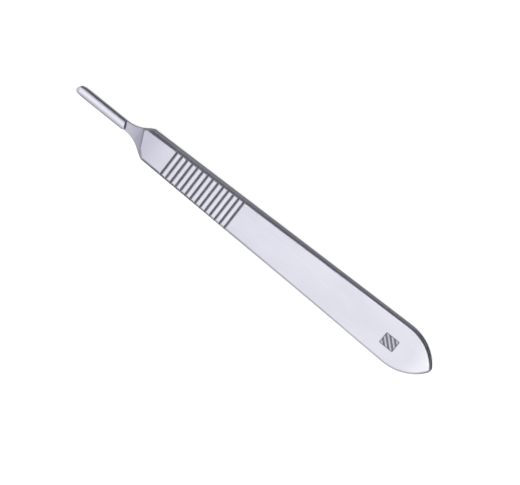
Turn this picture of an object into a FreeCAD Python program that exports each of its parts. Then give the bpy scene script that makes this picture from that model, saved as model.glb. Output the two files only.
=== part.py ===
import FreeCAD
import Part

import math
import os

from FreeCAD import Vector

# Scalpel handle of the large-blade pattern, one forged and milled piece of steel, in millimetres.
# It lies on its flat back. X runs along the handle with the blade fitting at the +X end, Y runs across
# it, and Z rises out of the upper face. The origin is under the middle of the handle, on the back.
# A name that ends in _back is a distance behind the tip.

# Whole handle
overall_length = 135.0
front_thickness = 3.1           # at the shoulder
rear_thickness = 1.9            # through the paddle end
taper_start_back = 18.9         # the upper face is level here
taper_end_back = 105.0          # and level again from here on
upper_front_radius = 1.4        # rounding of the upper long edges at the shoulder
upper_rear_radius = 1.1         # and at the paddle end
lower_front_radius = 1.2        # rounding of the lower long edges at the shoulder
lower_rear_radius = 0.7         # and at the paddle end

# Plan outline of the grip
shoulder_width = 10.42          # between the long edges, just behind the shoulder
shoulder_back = 27.5            # where the shoulder meets the long edge
paddle_width = 15.55            # at the widest place
paddle_radius = 14.6            # each side of the pointed end
paddle_nose_radius = 1.9        # the very end

# Cross grooves of the finger grip, the same on both faces
groove_count = 14
groove_pitch = 1.905
first_groove_back = 35.55
groove_depth = 0.6
groove_floor_width = 0.06
groove_flank_angle = 25.0       # degrees from upright
groove_lip_radius = 0.5

# Shoulder and neck
shoulder_slant = 1.25           # the +Y shoulder starts this much further back than the -Y one
shoulder_radius = 4.5           # round curve of the shoulder
flare_angle = 37.0              # degrees from the handle's axis
neck_radius = 9.0               # hollow curve from the neck into the flare
neck_width = 2.95               # of the neck and of the base under the tongue
seat_height = 1.45              # the blade lies on the seat, this far above the back
step_back = 24.9                # where the step crosses the axis
step_angle = 23.5               # degrees from square to the axis, with the -Y end nearer the tip
step_foot_radius = 0.3          # hollow corner at the foot of the step
step_edge_radius = 0.5          # rounding along the top of the step

# Bevel over the +Y shoulder, where the blade's corner is lifted to take it off
bevel_reach = 0.7               # from the axis to where the bevel leaves the step
bevel_angle = 48.0              # degrees from the handle's axis, seen from above
bevel_slope = 48.0              # degrees from level

# Blade fitting
tongue_width = 2.65
tongue_length = 18.15           # from the tip to the slanted rear end, along the axis
tongue_nose_radius = 1.1
tongue_side_radius = 8.0        # curve from the nose to the straight sides
tongue_corner_radius = 0.55     # plan corners of the rear end, which is parallel to the step
base_setback = 0.3              # nose of the base, behind the nose of the tongue
base_edge_radius = 0.7          # rounding under the base, the neck and the shoulders
blade_slot_height = 0.55        # takes the edges of the blade's slot
blade_slot_depth = 0.42         # into each side of the tongue
lip_thickness = 0.25            # edge of the tongue over the slots
tongue_crown = 0.2              # rise of the tongue's top from its edges to its middle
rear_gap = 0.45                 # gap behind the tongue
rear_gap_depth = 0.5            # below the seat
nose_bevel_length = 1.0
nose_bevel_drop = 0.25
underside_bevel_length = 2.4
underside_bevel_rise = 1.0

# Bodies that only shape others
runout_radius = 30.0            # the front's outline bends away from the grip behind the shoulders
runout_turn = 60.0              # degrees
clear = 4.0                     # how far cutting bodies reach past the metal
touching = 0.001                # places nearer than this are the same place

half_length = overall_length / 2


def x_at(back):
    """X of a place this far behind the tip."""
    return half_length - back


def polar(radius, angle):
    return Vector(radius * math.cos(angle), radius * math.sin(angle), 0)


def across(point):
    """The same place on the other side of the axis."""
    return Vector(point.x, -point.y, point.z)


def other_side(shape):
    return shape.mirror(Vector(0, 0, 0), Vector(0, 1, 0))


def quarter_bend(radius):
    """How far the middle of a quarter arc lies from the two straights that it joins."""
    return radius * (1 - math.cos(math.pi / 4))


def arc(start, middle, end):
    return Part.Arc(start, middle, end).toShape()


def line(start, end):
    return Part.makeLine(start, end)


def prism(edges, low, high):
    """Closed outline drawn in XY, made solid between two heights."""
    face = Part.Face(Part.Wire(Part.__sortEdges__(edges)))
    face.translate(Vector(0, 0, low))
    return face.extrude(Vector(0, 0, high - low))


def bar_across(edges, reach):
    """Closed outline drawn in XZ, made solid from -reach to +reach in Y."""
    face = Part.Face(Part.Wire(Part.__sortEdges__(edges)))
    face.translate(Vector(0, -reach, 0))
    return face.extrude(Vector(0, 2 * reach, 0))


def face_height(x):
    """Height of the upper face above the back."""
    share = (x_at(taper_start_back) - x) / (taper_end_back - taper_start_back)
    share = min(max(share, 0), 1)
    return front_thickness - (front_thickness - rear_thickness) * share ** 2 * (3 - 2 * share)


class GripPlan:
    """Plan of the grip on the +Y side: straight long edge, large side arc, small arc round the end."""

    def __init__(self):
        nose_centre = Vector(paddle_nose_radius - half_length, 0, 0)
        between = paddle_radius - paddle_nose_radius
        side_y = paddle_width / 2 - paddle_radius
        side_centre = Vector(nose_centre.x + math.sqrt(between ** 2 - side_y ** 2), side_y, 0)
        shoulder = Vector(x_at(shoulder_back), shoulder_width / 2, 0)
        sight = shoulder - side_centre
        tangent = math.atan2(sight.y, sight.x) + math.acos(paddle_radius / sight.Length)
        joint = math.atan2(-side_y, nose_centre.x - side_centre.x)
        self.edge_end = side_centre + polar(paddle_radius, tangent)
        self.slope = (shoulder.y - self.edge_end.y) / (shoulder.x - self.edge_end.x)
        self.end = Vector(-half_length, 0, 0)
        side_middle = side_centre + polar(paddle_radius, (tangent + joint) / 2)
        nose_start = side_centre + polar(paddle_radius, joint)
        nose_middle = nose_centre + polar(paddle_nose_radius, (joint + math.pi) / 2)
        self.paddle = [arc(self.edge_end, side_middle, nose_start), arc(nose_start, nose_middle, self.end)]

    def edge_point(self, x):
        """Place on the long edge."""
        return Vector(x, self.edge_end.y + self.slope * (x - self.edge_end.x), 0)


grip = GripPlan()


def side_profile():
    """Everything between the flat back and the upper face."""
    start_x = x_at(taper_start_back)
    end_x = x_at(taper_end_back)
    third = (start_x - end_x) / 3
    upper = Part.BezierCurve()
    upper.setPoles([
        Vector(start_x, 0, front_thickness),
        Vector(start_x - third, 0, front_thickness),
        Vector(end_x + third, 0, rear_thickness),
        Vector(end_x, 0, rear_thickness),
    ])
    rear_x = -half_length - clear
    edges = [
        line(Vector(rear_x, 0, 0), Vector(start_x, 0, 0)),
        line(Vector(start_x, 0, 0), Vector(start_x, 0, front_thickness)),
        upper.toShape(),
        line(Vector(end_x, 0, rear_thickness), Vector(rear_x, 0, rear_thickness)),
        line(Vector(rear_x, 0, rear_thickness), Vector(rear_x, 0, 0)),
    ]
    return bar_across(edges, paddle_width)


def rounded_half():
    """The +Y half of the grip as a plain bar, with its long edges rounded all the way to the end."""
    front = grip.edge_point(x_at(taper_start_back))
    middle = Vector(front.x, 0, 0)
    outline = [line(middle, front), line(front, grip.edge_end)] + grip.paddle + [line(grip.end, middle)]
    half = prism(outline, 0, front_thickness + clear).common(side_profile())
    for height, radii in (
        (0, [lower_front_radius, lower_rear_radius]),
        (front_thickness, [upper_front_radius, upper_rear_radius]),
    ):
        corner = Part.Vertex(front + Vector(0, 0, height))
        long_edge, = [edge for edge in half.Edges
                      if edge.BoundBox.XLength > clear and edge.distToShape(corner)[0] < touching]
        start = long_edge.valueAt(long_edge.FirstParameter)
        end = long_edge.valueAt(long_edge.LastParameter)
        if start.x < end.x:
            radii.reverse()
        half = half.makeFillet(*radii, [long_edge])
    return half


def grip_bar():
    half = rounded_half()
    return half.fuse(other_side(half)).removeSplitter()


def groove_cutter(x, height, up):
    """One cross groove with slanted flanks, a flat floor and rounded lips, cut down from a face."""
    flank = math.radians(groove_flank_angle)
    lip = groove_lip_radius
    floor_dx = groove_floor_width / 2
    lip_depth = lip - lip * math.sin(flank)
    lip_dx = floor_dx + (groove_depth - lip_depth) * math.tan(flank)
    lip_centre = lip_dx + lip * math.cos(flank)
    turn = (math.pi / 2 - flank) / 2
    bend_dx = lip_centre - lip * math.sin(turn)
    bend_depth = lip - lip * math.cos(turn)

    def at(dx, depth):
        return Vector(x + dx, 0, height - up * depth)

    edges = [
        line(at(-lip_centre, -clear), at(lip_centre, -clear)),
        line(at(floor_dx, groove_depth), at(-floor_dx, groove_depth)),
    ]
    for side in (1, -1):
        edges += [
            line(at(side * lip_centre, -clear), at(side * lip_centre, 0)),
            arc(at(side * lip_centre, 0), at(side * bend_dx, bend_depth), at(side * lip_dx, lip_depth)),
            line(at(side * lip_dx, lip_depth), at(side * floor_dx, groove_depth)),
        ]
    return bar_across(edges, paddle_width)


def grip_grooves():
    cutters = []
    for number in range(groove_count):
        x = x_at(first_groove_back + number * groove_pitch)
        cutters.append(groove_cutter(x, face_height(x), 1))
        cutters.append(groove_cutter(x, 0, -1))
    return cutters


def flare(slant):
    """Outline on the +Y side from the neck to the long edge, and on past the grip in a wide curve.

    In order: hollow neck, straight flare, round shoulder, runout that bends away from the grip.
    """
    angle = math.radians(flare_angle)
    square = math.atan2(1, -grip.slope)
    shoulder = grip.edge_point(x_at(shoulder_back + slant))
    shoulder_centre = shoulder - polar(shoulder_radius, square)
    crest = shoulder_centre + polar(shoulder_radius, math.pi / 2 - angle)
    crest_middle = shoulder_centre + polar(shoulder_radius, (square + math.pi / 2 - angle) / 2)
    foot_y = neck_width / 2 + neck_radius * (1 - math.cos(angle))
    foot_x = crest.x + (crest.y - foot_y) / math.tan(angle)
    neck_centre = Vector(foot_x + neck_radius * math.sin(angle), neck_width / 2 + neck_radius, 0)
    foot = neck_centre - polar(neck_radius, math.pi / 2 - angle)
    neck_middle = neck_centre - polar(neck_radius, (math.pi - angle) / 2)
    neck = neck_centre - Vector(0, neck_radius, 0)
    runout_centre = shoulder + polar(runout_radius, square)
    runout_middle = runout_centre - polar(runout_radius, square - math.radians(runout_turn) / 2)
    runout_end = runout_centre - polar(runout_radius, square - math.radians(runout_turn))
    edges = [
        arc(neck, neck_middle, foot),
        line(foot, crest),
        arc(crest, crest_middle, shoulder),
        arc(shoulder, runout_middle, runout_end),
    ]
    return neck, edges, runout_end


def nose_plan(tip_x, half_width, nose_radius, side_radius):
    """Round nose that runs into straight sides: nose arc, +Y side arc and the place where that ends."""
    nose_x = tip_x - nose_radius
    side_y = half_width - side_radius
    side_centre = Vector(nose_x - math.sqrt((side_radius - nose_radius) ** 2 - side_y ** 2), side_y, 0)
    joint = math.atan2(-side_y, nose_x - side_centre.x)
    side_end = side_centre + polar(side_radius, math.pi / 2)
    side_middle = side_centre + polar(side_radius, (math.pi / 2 + joint) / 2)
    nose_end = side_centre + polar(side_radius, joint)
    nose = arc(nose_end, Vector(tip_x, 0, 0), across(nose_end))
    return nose, arc(side_end, side_middle, nose_end), side_end


def front_body():
    """Base of the tongue, neck and shoulders, with the lower edge rounded, and room for the grip."""
    ledge = (neck_width - tongue_width) / 2
    nose, side_arc, side_end = nose_plan(half_length - base_setback, neck_width / 2,
                                         tongue_nose_radius + ledge, tongue_side_radius + ledge)
    near_neck, near_edges, near_end = flare(shoulder_slant)
    far_neck, far_edges, far_end = flare(0)
    near = [side_arc, line(side_end, near_neck)] + near_edges
    far = [side_arc, line(side_end, far_neck)] + far_edges
    far_end = across(far_end)
    near_corner = Vector(-half_length - clear, near_end.y, 0)
    far_corner = Vector(-half_length - clear, far_end.y, 0)
    outline = [nose] + near + [other_side(edge) for edge in far]
    outline += [line(near_end, near_corner), line(near_corner, far_corner), line(far_corner, far_end)]
    body = prism(outline, 0, front_thickness + clear)
    behind = max(near_end.x, far_end.x) + touching
    lower = [edge for edge in body.Edges if edge.BoundBox.ZMax < touching and edge.BoundBox.XMax > behind]
    return body.makeFillet(base_edge_radius, lower)


def base_plate():
    """Slab as thick as the seat is high, under the tongue and the front of the neck."""
    front_x = x_at(taper_start_back)
    return Part.makeBox(half_length + clear - front_x, 2 * paddle_width, seat_height,
                        Vector(front_x, -paddle_width, 0))


def step_cutter():
    """Clears the metal above the seat in front of the slanted step."""
    top = face_height(x_at(step_back))
    foot = step_foot_radius
    edge = step_edge_radius
    foot_bend = quarter_bend(foot)
    edge_bend = quarter_bend(edge)
    reach = step_back + clear
    foot_start = Vector(foot, 0, seat_height)
    foot_middle = Vector(foot_bend, 0, seat_height + foot_bend)
    foot_end = Vector(0, 0, seat_height + foot)
    edge_start = Vector(0, 0, top - edge)
    edge_middle = Vector(-edge_bend, 0, top - edge_bend)
    edge_end = Vector(-edge, 0, top)
    edges = [
        line(Vector(reach, 0, seat_height), foot_start),
        arc(foot_start, foot_middle, foot_end),
        line(foot_end, edge_start),
        arc(edge_start, edge_middle, edge_end),
        line(edge_end, Vector(-edge, 0, top + clear)),
        line(Vector(-edge, 0, top + clear), Vector(reach, 0, top + clear)),
        line(Vector(reach, 0, top + clear), Vector(reach, 0, seat_height)),
    ]
    cutter = bar_across(edges, 2 * paddle_width)
    cutter.rotate(Vector(0, 0, 0), Vector(0, 0, 1), step_angle)
    cutter.translate(Vector(x_at(step_back), 0, 0))
    return cutter


def shoulder_bevel():
    """Slanting cut from the +Y end of the step to the long edge."""
    top = face_height(x_at(step_back))
    run = (top - seat_height) / math.tan(math.radians(bevel_slope))
    rise = clear * math.tan(math.radians(bevel_slope))
    edges = [
        line(Vector(run, 0, seat_height), Vector(-clear, 0, top + rise)),
        line(Vector(-clear, 0, top + rise), Vector(paddle_width, 0, top + rise)),
        line(Vector(paddle_width, 0, top + rise), Vector(paddle_width, 0, seat_height)),
        line(Vector(paddle_width, 0, seat_height), Vector(run, 0, seat_height)),
    ]
    cutter = bar_across(edges, paddle_width)
    cutter.rotate(Vector(0, 0, 0), Vector(0, 0, 1), 90 - bevel_angle)
    corner_x = x_at(step_back) - bevel_reach * math.tan(math.radians(step_angle))
    cutter.translate(Vector(corner_x, bevel_reach, 0))
    return cutter


def closed_tongue(inset, low, high):
    """The whole tongue, drawn in by inset, between two heights."""
    half_width = tongue_width / 2 - inset
    corner = tongue_corner_radius - inset
    slant = math.radians(step_angle)
    rear_x = x_at(tongue_length) + inset / math.cos(slant)
    nose, side_arc, side_end = nose_plan(half_length - inset, half_width,
                                         tongue_nose_radius - inset, tongue_side_radius - inset)
    outline = [nose, side_arc, other_side(side_arc)]
    rear_ends = []
    for side, start in ((1, side_end), (-1, across(side_end))):
        centre_y = side * (half_width - corner)
        centre = Vector(rear_x - centre_y * math.tan(slant) + corner / math.cos(slant), centre_y, 0)
        side_point = centre + Vector(0, side * corner, 0)
        rear_point = centre - polar(corner, slant)
        middle = centre - polar(corner, (slant - side * math.pi / 2) / 2)
        outline += [line(start, side_point), arc(side_point, middle, rear_point)]
        rear_ends.append(rear_point)
    outline.append(line(*rear_ends))
    return prism(outline, low, high)


def tongue():
    """Crowned tongue on a narrower stem, so that a slot runs all the way round under its edge."""
    slot_top = seat_height + blade_slot_height
    crest = slot_top + lip_thickness + tongue_crown
    stem = closed_tongue(blade_slot_depth, seat_height / 2, slot_top + lip_thickness / 2)
    cap = closed_tongue(0, slot_top, crest + clear)
    crown_radius = ((tongue_width / 2) ** 2 + tongue_crown ** 2) / (2 * tongue_crown)
    crown = Part.makeCylinder(crown_radius, tongue_length + 2 * clear,
                              Vector(x_at(tongue_length) - clear, 0, crest - crown_radius), Vector(1, 0, 0))
    return stem.fuse(cap.common(crown))


def rear_gap_cutter():
    """Slit across the base, right behind the tongue and parallel to its rear end."""
    cutter = Part.makeBox(rear_gap, 2 * paddle_width, rear_gap_depth + blade_slot_height,
                          Vector(-rear_gap, -paddle_width, seat_height - rear_gap_depth))
    cutter.rotate(Vector(0, 0, 0), Vector(0, 0, 1), step_angle)
    cutter.translate(Vector(x_at(tongue_length), 0, 0))
    return cutter


def nose_cutters():
    """Bevels over and under the nose."""
    crest = seat_height + blade_slot_height + lip_thickness + tongue_crown
    slope = nose_bevel_drop / nose_bevel_length
    over = [
        Vector(half_length - nose_bevel_length, 0, crest),
        Vector(half_length + clear, 0, crest - nose_bevel_drop - slope * clear),
        Vector(half_length + clear, 0, crest + clear),
        Vector(half_length - nose_bevel_length, 0, crest + clear),
    ]
    slope = underside_bevel_rise / underside_bevel_length
    under = [
        Vector(half_length - underside_bevel_length, 0, 0),
        Vector(half_length + clear, 0, underside_bevel_rise + slope * clear),
        Vector(half_length + clear, 0, -clear),
        Vector(half_length - underside_bevel_length, 0, -clear),
    ]
    cutters = []
    for corners in (over, under):
        edges = [line(a, b) for a, b in zip(corners, corners[1:] + corners[:1])]
        cutters.append(bar_across(edges, tongue_width))
    return cutters


def scalpel_handle():
    blank = grip_bar().fuse(base_plate()).common(front_body())
    blank = blank.cut([step_cutter(), shoulder_bevel()] + grip_grooves())
    blank = blank.fuse(tongue()).cut([rear_gap_cutter()] + nose_cutters())
    return blank.removeSplitter()


handle = scalpel_handle()
print("handle", round(handle.Volume, 1), handle.isValid(), len(handle.Solids), len(handle.Faces))
print("box", handle.optimalBoundingBox(True, False))

os.makedirs("parts", exist_ok=True)
handle.exportStep("parts/scalpel_handle.step")
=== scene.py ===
import math

import bpy
from mathutils import Matrix, Vector

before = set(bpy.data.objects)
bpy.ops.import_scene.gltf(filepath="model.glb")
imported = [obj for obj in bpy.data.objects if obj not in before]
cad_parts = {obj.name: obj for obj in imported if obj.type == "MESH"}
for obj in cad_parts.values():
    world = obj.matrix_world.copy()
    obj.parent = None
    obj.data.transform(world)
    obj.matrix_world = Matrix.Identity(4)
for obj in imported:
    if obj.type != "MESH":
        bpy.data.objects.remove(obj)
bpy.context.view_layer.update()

MM = 0.001
WHITE = (1, 1, 1, 1)

# Numbers of the colour sockets of a Mix node
MIX_FACTOR = 0
MIX_FIRST = 6
MIX_SECOND = 7
MIX_RESULT = 2


def new_material(name):
    """A node material with an empty tree, and the tree."""
    material = bpy.data.materials.new(name)
    material.use_nodes = True
    material.node_tree.nodes.clear()
    return material, material.node_tree


def add(tree, kind, sockets, **settings):
    """One node. sockets holds a value or another node's output for each named or numbered input."""
    node = tree.nodes.new(kind)
    for key, value in settings.items():
        setattr(node, key, value)
    for key, value in sockets.items():
        if isinstance(value, bpy.types.NodeSocket):
            tree.links.new(value, node.inputs[key])
        else:
            node.inputs[key].default_value = value
    return node


def math_node(tree, operation, *values, clamp=False):
    sockets = dict(enumerate(values))
    return add(tree, "ShaderNodeMath", sockets, operation=operation, use_clamp=clamp).outputs[0]


def times(tree, first, second):
    return math_node(tree, "MULTIPLY", first, second)


def plus(tree, first, second):
    return math_node(tree, "ADD", first, second)


def minus(tree, first, second):
    return math_node(tree, "SUBTRACT", first, second)


def larger(tree, first, second):
    return math_node(tree, "MAXIMUM", first, second)


def above(tree, value, limit):
    return math_node(tree, "GREATER_THAN", value, limit)


def below(tree, value, limit):
    return math_node(tree, "LESS_THAN", value, limit)


def ramp(tree, value, start, end, at_start=0.0, at_end=1.0, kind="SMOOTHSTEP"):
    """at_start where the value is start, at_end where it is end, and level beyond both."""
    sockets = {"Value": value, "From Min": start, "From Max": end, "To Min": at_start, "To Max": at_end}
    return add(tree, "ShaderNodeMapRange", sockets, interpolation_type=kind).outputs["Result"]


def mix_color(tree, factor, first, second):
    """first where the factor is 0, and second where it is 1."""
    sockets = {MIX_FACTOR: factor, MIX_FIRST: first, MIX_SECOND: second}
    return add(tree, "ShaderNodeMix", sockets, data_type="RGBA").outputs[MIX_RESULT]


def separate(tree, place):
    """x, y and z of a place or direction."""
    return add(tree, "ShaderNodeSeparateXYZ", {"Vector": place}).outputs


# Colours of the steel, from plain to etched, with painted shade in hollows and near the step and a painted
# sheen
STEEL = (0.72, 0.717, 0.79, 1)
STEEL_BRIGHT = (0.79, 0.785, 0.853, 1)
GROOVE_SHADE_STEEL = (0.455, 0.455, 0.51, 1)
STEP_SHADE_STEEL = (0.45, 0.447, 0.54, 1)
PAINTED_SHEEN_STEEL = (0.86, 0.855, 0.91, 1)
MARK = (0.27, 0.27, 0.32, 1)

# Places on the handle. The step is slanted, and STEP_X is its middle
STEP_X = 42.6 * MM
STEP_FRONT_X = STEP_X + 2 * MM
SEAT_REAR_X = 38 * MM
GROOVES_FRONT_X = 32.6 * MM
GROOVES_REAR_X = 6.5 * MM
BUTT_X = -67.5 * MM
TONGUE_REAR_X = 49.3 * MM
TONGUE_TOP_Z = 2.1 * MM
MARKED_FACE_Z = 1.5 * MM

# A RAMP is its start and end, and then the values at both where they aren't 0 and 1
# Painted shade on the upper face just behind the step
BEHIND_STEP_SHADE_RAMP = (STEP_X - 9 * MM, STEP_X - 1 * MM)
BEHIND_STEP_SHADE = 0.42
SEAT_LEVEL_RAMP = (1.6 * MM, 1.5 * MM)
# Painted shade on the seat: a little darker all over and darkest at the step foot
SEAT_SHADE_RAMP = (STEP_X + 7 * MM, STEP_X, 0.1, 0.8)
# Painted sheen on the butt, and half as much on the ridges
BUTT_SHEEN_RAMP = (BUTT_X + 8 * MM, BUTT_X + 2 * MM)
RIDGE_SHEEN = 0.5

# Noise, with its scale along, across and through the handle
BRUSHING_SCALE = (90, 9000, 9000)
BRUSHING_DETAIL = 3.0
BRUSHING_COLOR_RAMP = (0.35, 0.65)
SMUDGE_SCALE = (60, 160, 160)
SMUDGE_DETAIL = 4.0
SMUDGE_COLOR_RAMP = (0.3, 0.7, 0.0, 0.35)

# Painted shade in grooves, slots and corners, found by how little of the open room they see
HOLLOW_REACH = 0.9 * MM
HOLLOW_SAMPLES = 12
HOLLOW_SHADE_RAMP = (0.99, 0.42)

# Etched rectangle near the butt, with slanted stripes inside a plain border
MARK_CENTRE = (-52.55 * MM, 0.7 * MM)
MARK_HALF = (2.5 * MM, 2.1 * MM)
MARK_CORNER = 0.3 * MM
MARK_EDGE_RAMP = (MARK_CORNER + 0.06 * MM, MARK_CORNER - 0.06 * MM)
MARK_BORDER_RAMP = (MARK_CORNER - 0.2 * MM, MARK_CORNER - 0.3 * MM)
MARK_STRENGTH = 0.9
STRIPE_PITCH = 1.7 * MM
STRIPE_RAMP = (-0.1, 0.5)
STRIPE_STRENGTH = 0.7

# Roughness of the brushed steel, and what smudges, etching, hollows and the seat add to it
BRUSHING_ROUGHNESS_RAMP = (0.3, 0.7, 0.27, 0.34)
SMUDGE_ROUGHNESS_RAMP = (0.3, 0.7, 0.0, 0.04)
MARK_ROUGHNESS = 0.3
HOLLOW_ROUGHNESS = 0.25
SEAT_ROUGHNESS = 0.12
BUMP_STRENGTH = 0.25
BUMP_HEIGHT = 0.004 * MM


def stretched_noise(tree, place, scale, detail):
    mapping = add(tree, "ShaderNodeMapping", {"Vector": place, "Scale": scale})
    sockets = {"Vector": mapping.outputs[0], "Scale": 1.0, "Detail": detail}
    return add(tree, "ShaderNodeTexNoise", sockets).outputs["Fac"]


def steel_color_with_painted_light(tree, x, z, brushing, smudges):
    """Brushed steel, with painted shade just behind the step, and a painted sheen on ridges, tongue and
    butt.
    """
    color = mix_color(tree, ramp(tree, brushing, *BRUSHING_COLOR_RAMP), STEEL, STEEL_BRIGHT)
    color = mix_color(tree, ramp(tree, smudges, *SMUDGE_COLOR_RAMP), color, STEEL)

    # Painted shade: the face darkens toward the step
    shade_behind_step = times(tree, ramp(tree, x, *BEHIND_STEP_SHADE_RAMP), below(tree, x, STEP_FRONT_X))
    color = mix_color(tree, times(tree, shade_behind_step, BEHIND_STEP_SHADE), color, STEP_SHADE_STEEL)

    # Painted sheen: a brighter copy of the steel colour on ridges, tongue and butt
    ridges = times(tree, below(tree, x, GROOVES_FRONT_X), above(tree, x, GROOVES_REAR_X))
    tongue = times(tree, above(tree, x, TONGUE_REAR_X), above(tree, z, TONGUE_TOP_Z))
    butt = ramp(tree, x, *BUTT_SHEEN_RAMP)
    painted_sheen = larger(tree, times(tree, ridges, RIDGE_SHEEN), larger(tree, tongue, butt))
    return mix_color(tree, painted_sheen, color, PAINTED_SHEEN_STEEL)


def etched_mark(tree, x, y, z):
    """1 on the etched rectangle and less on its stripes, on the upper face only."""
    x = minus(tree, x, MARK_CENTRE[0])
    y = minus(tree, y, MARK_CENTRE[1])
    over_x = larger(tree, minus(tree, math_node(tree, "ABSOLUTE", x), MARK_HALF[0] - MARK_CORNER), 0.0)
    over_y = larger(tree, minus(tree, math_node(tree, "ABSOLUTE", y), MARK_HALF[1] - MARK_CORNER), 0.0)
    distance = math_node(tree, "SQRT", plus(tree, times(tree, over_x, over_x), times(tree, over_y, over_y)))
    field = times(tree, ramp(tree, distance, *MARK_EDGE_RAMP), above(tree, z, MARKED_FACE_Z))

    wave = math_node(tree, "COSINE", times(tree, plus(tree, x, y), 2 * math.pi / STRIPE_PITCH))
    inside_border = times(tree, ramp(tree, distance, *MARK_BORDER_RAMP), STRIPE_STRENGTH)
    stripes = times(tree, ramp(tree, wave, *STRIPE_RAMP), inside_border)
    return times(tree, field, minus(tree, 1.0, stripes))


def steel():
    """Satin steel, finely brushed along the handle, with a dark etched rectangle near the butt, painted
    shade in hollows and near the step, and a painted sheen on ridges, tongue and butt.
    """
    material, tree = new_material("satin_steel")
    place = add(tree, "ShaderNodeTexCoord", {}).outputs["Object"]
    x, y, z = separate(tree, place)
    brushing = stretched_noise(tree, place, BRUSHING_SCALE, BRUSHING_DETAIL)
    smudges = stretched_noise(tree, place, SMUDGE_SCALE, SMUDGE_DETAIL)
    mark = etched_mark(tree, x, y, z)

    openness = add(tree, "ShaderNodeAmbientOcclusion", {"Distance": HOLLOW_REACH},
                   only_local=True, samples=HOLLOW_SAMPLES)
    shaded_hollows = ramp(tree, openness.outputs["AO"], *HOLLOW_SHADE_RAMP)
    seat = times(tree, ramp(tree, z, *SEAT_LEVEL_RAMP), above(tree, x, SEAT_REAR_X))

    color = steel_color_with_painted_light(tree, x, z, brushing, smudges)
    # Painted shade: grooves, slots and corners are darkened by how little of the open room they see
    color = mix_color(tree, shaded_hollows, color, GROOVE_SHADE_STEEL)
    # Painted shade on the seat, growing toward the step foot
    color = mix_color(tree, times(tree, seat, ramp(tree, x, *SEAT_SHADE_RAMP)), color, STEP_SHADE_STEEL)
    color = mix_color(tree, times(tree, mark, MARK_STRENGTH), color, MARK)

    rough = ramp(tree, brushing, *BRUSHING_ROUGHNESS_RAMP, kind="LINEAR")
    rough = plus(tree, rough, ramp(tree, smudges, *SMUDGE_ROUGHNESS_RAMP))
    for area, roughness in ((mark, MARK_ROUGHNESS), (shaded_hollows, HOLLOW_ROUGHNESS), (seat, SEAT_ROUGHNESS)):
        rough = plus(tree, rough, times(tree, area, roughness))

    sockets = {"Height": brushing, "Strength": BUMP_STRENGTH, "Distance": BUMP_HEIGHT}
    bump = add(tree, "ShaderNodeBump", sockets)
    sockets = {"Base Color": color, "Roughness": rough, "Metallic": 1.0, "Normal": bump.outputs[0]}
    shader = add(tree, "ShaderNodeBsdfPrincipled", sockets)
    add(tree, "ShaderNodeOutputMaterial", {"Surface": shader.outputs[0]})
    return material


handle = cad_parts["scalpel_handle"]
handle.data.materials.clear()
handle.data.materials.append(steel())


FLOOR_Z = -0.05 * MM
FLOOR_SIZE = (3, 3)
FLOOR_COLOR = (0.82, 0.82, 0.82, 1)
FLOOR_GLOW = 0.8


def plane(name, centre, size, material, rotation=(0, 0, 0)):
    bpy.ops.mesh.primitive_plane_add(size=1, location=centre, rotation=rotation)
    made = bpy.context.object
    made.name = name
    made.scale = (*size, 1)
    made.data.materials.append(material)
    return made


def floor_material():
    """Pale floor that shows white to the camera and in reflections, and keeps the shadow."""
    material, tree = new_material("pale_floor")
    rays = add(tree, "ShaderNodeLightPath", {}).outputs
    reflected = plus(tree, rays["Is Glossy Ray"], rays["Is Transmission Ray"])
    seen = math_node(tree, "ADD", rays["Is Camera Ray"], reflected, clamp=True)
    diffuse = add(tree, "ShaderNodeBsdfDiffuse", {"Color": FLOOR_COLOR})
    glow = add(tree, "ShaderNodeEmission", {"Strength": times(tree, seen, FLOOR_GLOW)})
    both = add(tree, "ShaderNodeAddShader", {0: diffuse.outputs[0], 1: glow.outputs[0]})
    add(tree, "ShaderNodeOutputMaterial", {"Surface": both.outputs[0]})
    return material


floor = plane("floor", (0, 0, FLOOR_Z), FLOOR_SIZE, floor_material())


# Their strengths run over the room's x and y
SOFTBOX_CENTRE = (-0.1, 0.38, 0.5)
SOFTBOX_SIZE = (1.0, 0.74)
SOFTBOX_X_RAMP = (-0.2, 0.2, 1.12, 0.85)
SOFTBOX_Y_RAMP = (-0.02, 0.52, 1.72, 0.45)
SOFTBOX_TINT = (0.95, 0.95, 1.02, 1)
SOFTBOX_TINT_RAMP = (-0.1, 0.15)

GREY_CARD_Z = -0.02 * MM
GREY_CARD_SIZE = (1.2, 1.2)
FAR_SIDE_RAMP = (36 * MM, -20 * MM, 0.5, 1.08)
FAR_BUTT_RAMP = (-63 * MM, -68 * MM, 1.0, 0.3)
NEAR_SIDE_RAMP = (34 * MM, 46 * MM, 0.22, 0.33)
NEAR_BUTT_RAMP = (-54 * MM, -64 * MM, 1.0, 0.3)

SIDE_CARD_CENTRE = (-30 * MM, 60 * MM, 20 * MM)
SIDE_CARD_SIZE = (0.14, 0.04)
SIDE_CARD_RAMP = (30 * MM, -10 * MM, 0.0, 0.6)


def room_place(tree):
    """x, y and z in the room."""
    return separate(tree, add(tree, "ShaderNodeNewGeometry", {}).outputs["Position"])


def add_glow(tree, strength, color=WHITE):
    glow = add(tree, "ShaderNodeEmission", {"Color": color, "Strength": strength})
    add(tree, "ShaderNodeOutputMaterial", {"Surface": glow.outputs[0]})


def softbox_material():
    """Brighter toward the handle and the paddle end, and a little bluer toward the tip."""
    material, tree = new_material("softbox_glow")
    x, y = room_place(tree)[:2]
    along = ramp(tree, x, *SOFTBOX_X_RAMP, kind="LINEAR")
    across = ramp(tree, y, *SOFTBOX_Y_RAMP, kind="LINEAR")
    tint = mix_color(tree, ramp(tree, x, *SOFTBOX_TINT_RAMP), WHITE, SOFTBOX_TINT)
    add_glow(tree, times(tree, along, across), tint)
    return material


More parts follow.
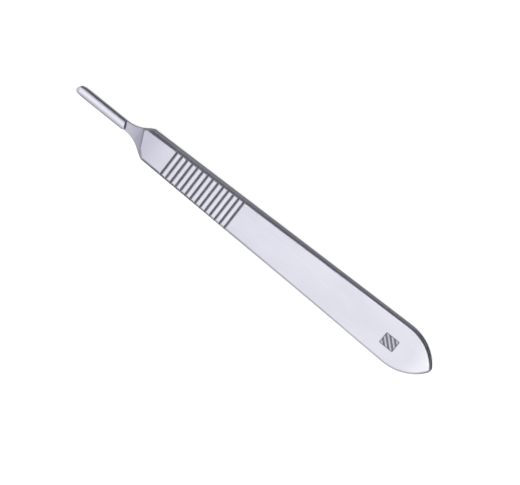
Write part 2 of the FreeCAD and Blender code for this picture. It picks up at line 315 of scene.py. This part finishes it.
def grey_card_material():
    """Brighter on the far side of the handle, and darker beside the end of the paddle."""
    material, tree = new_material("grey_card")
    x, y = room_place(tree)[:2]
    far_side = times(tree, ramp(tree, x, *FAR_SIDE_RAMP, kind="LINEAR"), ramp(tree, x, *FAR_BUTT_RAMP))
    near_side = times(tree, ramp(tree, x, *NEAR_SIDE_RAMP), ramp(tree, x, *NEAR_BUTT_RAMP))
    add_glow(tree, larger(tree, near_side, times(tree, far_side, above(tree, y, 0.0))))
    return material


def side_card_material():
    """Bounce card beside the rear half of the handle, fading out toward the grooves."""
    material, tree = new_material("side_card")
    x = room_place(tree)[0]
    add_glow(tree, ramp(tree, x, *SIDE_CARD_RAMP))
    return material


def show_in_reflections_only(card):
    for ray in ("camera", "diffuse", "transmission", "volume_scatter", "shadow"):
        setattr(card, "visible_" + ray, False)


softbox = plane("softbox", SOFTBOX_CENTRE, SOFTBOX_SIZE, softbox_material())
softbox.visible_camera = False

# Lies under the handle and beside it, just above the floor
grey_card = plane("grey_card", (0, 0, GREY_CARD_Z), GREY_CARD_SIZE, grey_card_material())
show_in_reflections_only(grey_card)

side_card = plane("side_card", SIDE_CARD_CENTRE, SIDE_CARD_SIZE, side_card_material(), (math.pi / 2, 0, 0))
show_in_reflections_only(side_card)


# The sky's ramps run over x, y and z of the direction looked in
SKY_BESIDE_HANDLE = (0.106, 0.106, 0.136, 1)
SKY_AT_TIP = (0.60, 0.60, 0.62, 1)
SKY_AT_BUTT = (0.035, 0.035, 0.045, 1)
SKY_TIP_X_RAMP = (0.3, 0.65)
SKY_TIP_Y_RAMP = (0.0, 0.4, 1.0, 0.5)
SKY_BUTT_X_RAMP = (-0.2, -0.6)
SKY_BUTT_Y_RAMP = (0.05, -0.2)
SKY_HORIZON_RAMP = (0.062, 0.05)


def studio_sky():
    """Dim beside the handle, bright toward its tip, dark behind the paddle and white along the horizon."""
    world = bpy.data.worlds.new("studio")
    world.use_nodes = True
    tree = world.node_tree
    x, y, z = separate(tree, add(tree, "ShaderNodeTexCoord", {}).outputs["Generated"])
    at_tip = times(tree, ramp(tree, x, *SKY_TIP_X_RAMP), ramp(tree, y, *SKY_TIP_Y_RAMP))
    at_butt = times(tree, ramp(tree, x, *SKY_BUTT_X_RAMP), ramp(tree, y, *SKY_BUTT_Y_RAMP))
    color = mix_color(tree, at_tip, SKY_BESIDE_HANDLE, SKY_AT_TIP)
    color = mix_color(tree, at_butt, color, SKY_AT_BUTT)
    color = mix_color(tree, ramp(tree, z, *SKY_HORIZON_RAMP), color, WHITE)
    tree.links.new(color, tree.nodes["Background"].inputs["Color"])
    return world


bpy.context.scene.world = studio_sky()


# Long lens about 25 degrees off straight above, turned so that the tip is at the upper left
PIXELS_PER_MM = 3.354
PICTURE_WIDTH = 520
SENSOR_WIDTH = 36.0
DISTANCE = 1.5
BACK = Vector((-0.0258, -0.4218, 0.9063)).normalized()
RIGHT = Vector((-0.7781, -0.5607, -0.2831)).normalized()
UP = BACK.cross(RIGHT).normalized()
AIM_RIGHT = 1.458 * MM
AIM_DOWN = 4.405 * MM

camera_data = bpy.data.cameras.new("camera")
camera_data.sensor_width = SENSOR_WIDTH
camera_data.lens = PIXELS_PER_MM * DISTANCE / MM * SENSOR_WIDTH / PICTURE_WIDTH
camera = bpy.data.objects.new("camera", camera_data)
position = Matrix.Translation(AIM_RIGHT * RIGHT - AIM_DOWN * UP + BACK * DISTANCE)
camera.matrix_world = position @ Matrix((RIGHT, UP, BACK)).transposed().to_4x4()
bpy.context.scene.collection.objects.link(camera)
bpy.context.scene.camera = camera
bpy.context.scene.view_settings.view_transform = "Standard"
